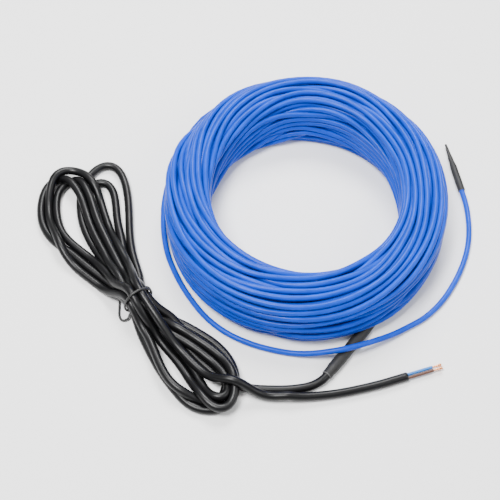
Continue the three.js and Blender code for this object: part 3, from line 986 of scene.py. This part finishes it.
def finish(piece, material, slot, *nodes):
    """Gives a piece its material, the nodes it stands for and its body; its slot is not used."""
    piece.data.materials.append(material)
    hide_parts(*nodes)
    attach(piece, "root")


class HEATINGCABLE_OT_set_stage(bpy.types.Operator):
    """Set up the camera, the plain floor and the soft studio light"""

    bl_idname = "heating_cable.set_stage"
    bl_label = "Set the stage"

    def execute(self, context):
        place_camera(context)
        lay_floor(context)
        hang_lights(context)
        return {"FINISHED"}


def place_camera(context):
    """Puts the camera in front of the aim, at its distance and elevation, looking down at it."""
    camera = bpy.data.objects.new("camera", bpy.data.cameras.new("camera"))
    camera.data.lens = CAMERA_LENS
    camera.data.sensor_width = 36.0
    aim = COIL_CENTRE * MM + CAMERA_AIM_FROM_COIL
    back = CAMERA_DISTANCE * math.cos(CAMERA_ELEVATION)
    camera.location = (aim[0], aim[1] - back, CAMERA_DISTANCE * math.sin(CAMERA_ELEVATION))
    camera.rotation_euler = (math.pi / 2 - CAMERA_ELEVATION, 0, 0)
    context.scene.collection.objects.link(camera)
    context.scene.camera = camera


def lay_floor(context):
    """Lays one large square of plain floor under everything."""
    mesh = bpy.data.meshes.new("studio_floor")
    corners = [(-1, -1, 0), (1, -1, 0), (1, 1, 0), (-1, 1, 0)]
    mesh.from_pydata([(FLOOR_REACH * x, FLOOR_REACH * y, z) for x, y, z in corners], [],
                     [(0, 1, 2, 3)])
    floor = bpy.data.objects.new("studio_floor", mesh)
    context.scene.collection.objects.link(floor)
    made = Shader("studio_floor")
    color = tuple(context.scene.heating_cable_finishes.floor)
    made.set(Base_Color=(*color, 1.0), Roughness=0.9)
    mesh.materials.append(made.material)


def hang_lights(context):
    """Hangs the square soft lights, each facing the middle of the floor, in a white world."""
    for name, location, size, power in SOFTBOXES:
        light = bpy.data.lights.new(name, "AREA")
        light.shape = "SQUARE"
        light.size = size
        light.energy = power
        lamp = bpy.data.objects.new(name, light)
        lamp.location = location
        direction = np.array(location) / np.linalg.norm(location)
        round_z = math.atan2(direction[1], direction[0]) + math.pi / 2
        lamp.rotation_euler = (math.acos(direction[2]), 0, round_z)
        context.scene.collection.objects.link(lamp)
    world = bpy.data.worlds.new("studio_world")
    world.use_nodes = True
    background = world.node_tree.nodes["Background"]
    background.inputs["Color"].default_value = (1, 1, 1, 1)
    background.inputs["Strength"].default_value = WORLD_STRENGTH
    context.scene.world = world


class HEATINGCABLE_OT_fit_shrink_tubes(bpy.types.Operator):
    """Fit the splice sleeve and the end seal, both shrunk tubes"""

    bl_idname = "heating_cable.fit_shrink_tubes"
    bl_label = "Fit the shrink tubes"

    def execute(self, context):
        size = sizes()
        sleeve = tube_piece("splice_shrink_tube", [sleeve_tube(size)])
        finish(sleeve, shrink_material("splice_shrink", 1.1 * MM), "heat_shrink", "splice_sleeve")
        seal = tube_piece("end_seal_tube", [seal_tube(tail_line(size))])
        finish(seal, shrink_material("seal_shrink", 0.4 * MM), "heat_shrink", "end_seal")
        return {"FINISHED"}


class HEATINGCABLE_OT_wind_heating_cable(bpy.types.Operator):
    """Wind the blue heating cable into its coil and lay its loose end round the front"""

    bl_idname = "heating_cable.wind_heating_cable"
    bl_label = "Wind the heating cable"

    def execute(self, context):
        size = sizes()
        line = np.concatenate([wind_turns(size), tail_line(size)[1:]])
        rings = round_ends(*sweep(line, size["cable_diameter"] / 2, CABLE_SIDES), 0.3)
        piece = tube_piece("blue_heating_cable", [rings])
        color = tuple(context.scene.heating_cable_finishes.blue)
        sheath = sheath_material("blue_sheath", color, rough=0.27, streaks=0.12, gloss=0.12)
        finish(piece, sheath, "blue_sheath", "heating_cable_coil", "heating_cable_tail")
        return {"FINISHED"}


class HEATINGCABLE_OT_bare_cores(bpy.types.Operator):
    """Make the two stripped cores with their bared copper wires"""

    bl_idname = "heating_cable.bare_cores"
    bl_label = "Bare the cores"

    def execute(self, context):
        rng = np.random.default_rng(SEED)
        copper = copper_material()
        for name, side, color in CORE_COLORS:
            slot = f"core_{name}_insulation"
            core = tube_piece(f"{name}_core", [core_tube(side)])
            finish(core, core_material(slot, color), slot, f"core_{name}")
            wires = tube_piece(f"{name}_core_wires", core_wires(side, rng))
            finish(wires, copper, "copper", f"core_{name}_strands")
        return {"FINISHED"}


class HEATINGCABLE_OT_twist_tie(bpy.types.Operator):
    """Tie the hank with its coated wire"""

    bl_idname = "heating_cable.twist_tie"
    bl_label = "Tie the hank"

    def execute(self, context):
        finish(tube_piece("hank_tie", tie_tubes()), tie_material(), "tie_coating", "twist_tie")
        return {"FINISHED"}


class HEATINGCABLE_OT_lay_cold_lead(bpy.types.Operator):
    """Lay the black cold lead from the splice through its tied hank to the stripped end"""

    bl_idname = "heating_cable.lay_cold_lead"
    bl_label = "Lay the cold lead"

    def execute(self, context):
        size = sizes()
        line = settle_lead(smooth_line(lead_route(size), SETTLE_STEP), size)
        line = smooth_line(line, LEAD_STEP)
        rings = round_ends(*sweep(line, size["lead_diameter"] / 2, LEAD_SIDES), 0.4)
        piece = tube_piece("cold_lead", [rings])
        color = tuple(context.scene.heating_cable_finishes.black)
        sheath = sheath_material("black_sheath", color, rough=0.33, streaks=0.14, gloss=0.25)
        finish(piece, sheath, "black_sheath",
               "cold_lead_run_in", "cold_lead_hank", "cold_lead_run_out")
        return {"FINISHED"}


class HEATINGCABLE_PT_panel(bpy.types.Panel):
    """Lists the steps that make the heating cable"""

    bl_label = "Heating cable"
    bl_space_type = "VIEW_3D"
    bl_region_type = "UI"
    bl_category = "Heating cable"

    def draw(self, context):
        for operator in OPERATORS:
            self.layout.operator(operator.bl_idname)


OPERATORS = (
    HEATINGCABLE_OT_set_stage,
    HEATINGCABLE_OT_fit_shrink_tubes,
    HEATINGCABLE_OT_wind_heating_cable,
    HEATINGCABLE_OT_bare_cores,
    HEATINGCABLE_OT_twist_tie,
    HEATINGCABLE_OT_lay_cold_lead,
)
CLASSES = (CableSizes, CableFinishes, *OPERATORS, HEATINGCABLE_PT_panel)


def register():
    for cls in CLASSES:
        bpy.utils.register_class(cls)
    bpy.types.Scene.heating_cable_sizes = PointerProperty(type=CableSizes)
    bpy.types.Scene.heating_cable_finishes = PointerProperty(type=CableFinishes)


def unregister():
    del bpy.types.Scene.heating_cable_finishes
    del bpy.types.Scene.heating_cable_sizes
    for cls in reversed(CLASSES):
        bpy.utils.unregister_class(cls)


def main():
    register()
    bpy.ops.heating_cable.set_stage()
    bpy.ops.heating_cable.fit_shrink_tubes()
    bpy.ops.heating_cable.wind_heating_cable()
    bpy.ops.heating_cable.bare_cores()
    bpy.ops.heating_cable.twist_tie()
    bpy.ops.heating_cable.lay_cold_lead()


if __name__ == "__main__":
    main()
